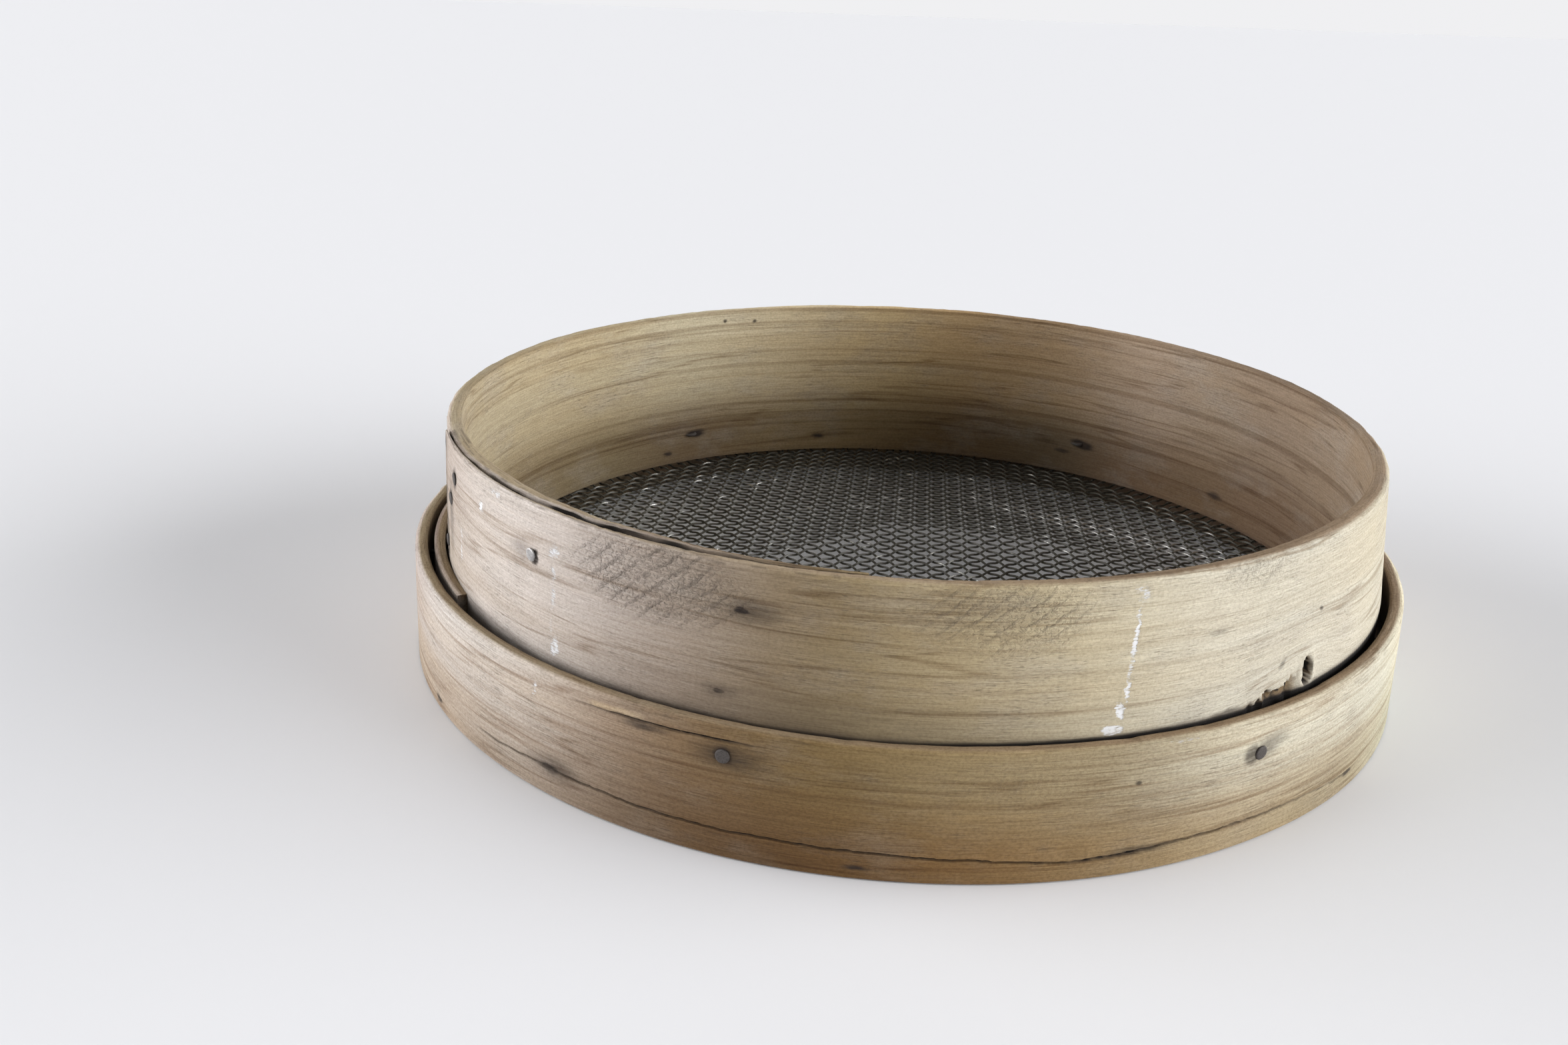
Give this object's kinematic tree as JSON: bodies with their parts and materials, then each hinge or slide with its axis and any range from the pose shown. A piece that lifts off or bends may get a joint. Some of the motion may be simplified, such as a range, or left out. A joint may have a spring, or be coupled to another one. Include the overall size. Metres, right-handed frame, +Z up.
{
  "type": "flour sifter",
  "caption": "Round wooden flour sieve: a tall bentwood hoop with woven wire cloth across its bottom, gripped by a shorter nailed hoop.",
  "frame": {"origin": "centre of the lower hoop's bottom edge, on the surface the sieve stands on", "axes": "+Z up along the hoops' common axis; -Y is the side with the upper hoop's long lap, seen from the front"},
  "size_m": [0.36, 0.36, 0.085],
  "materials": {
    "upper_wood": "weathered bare bentwood, greyish tan",
    "lower_wood": "old bare bentwood, warm brown",
    "wire": "dull grey woven steel wire",
    "nail": "dull iron, slightly rusted"
  },
  "bodies": {
    "root": {"upper_hoop": "upper_wood", "lower_hoop": "lower_wood", "warp_wires": "wire", "weft_wires": "wire", "cloth_edge": "wire", "band_nail_1": "nail", "band_nail_2": "nail", "band_nail_3": "nail", "band_nail_4": "nail", "band_nail_5": "nail", "band_nail_6": "nail", "lap_nail_1": "nail", "lap_nail_2": "nail", "lap_nail_3": "nail", "lap_nail_4": "nail", "hoop_tack_1": "nail", "hoop_tack_2": "nail"}
  },
  "joints": []
}
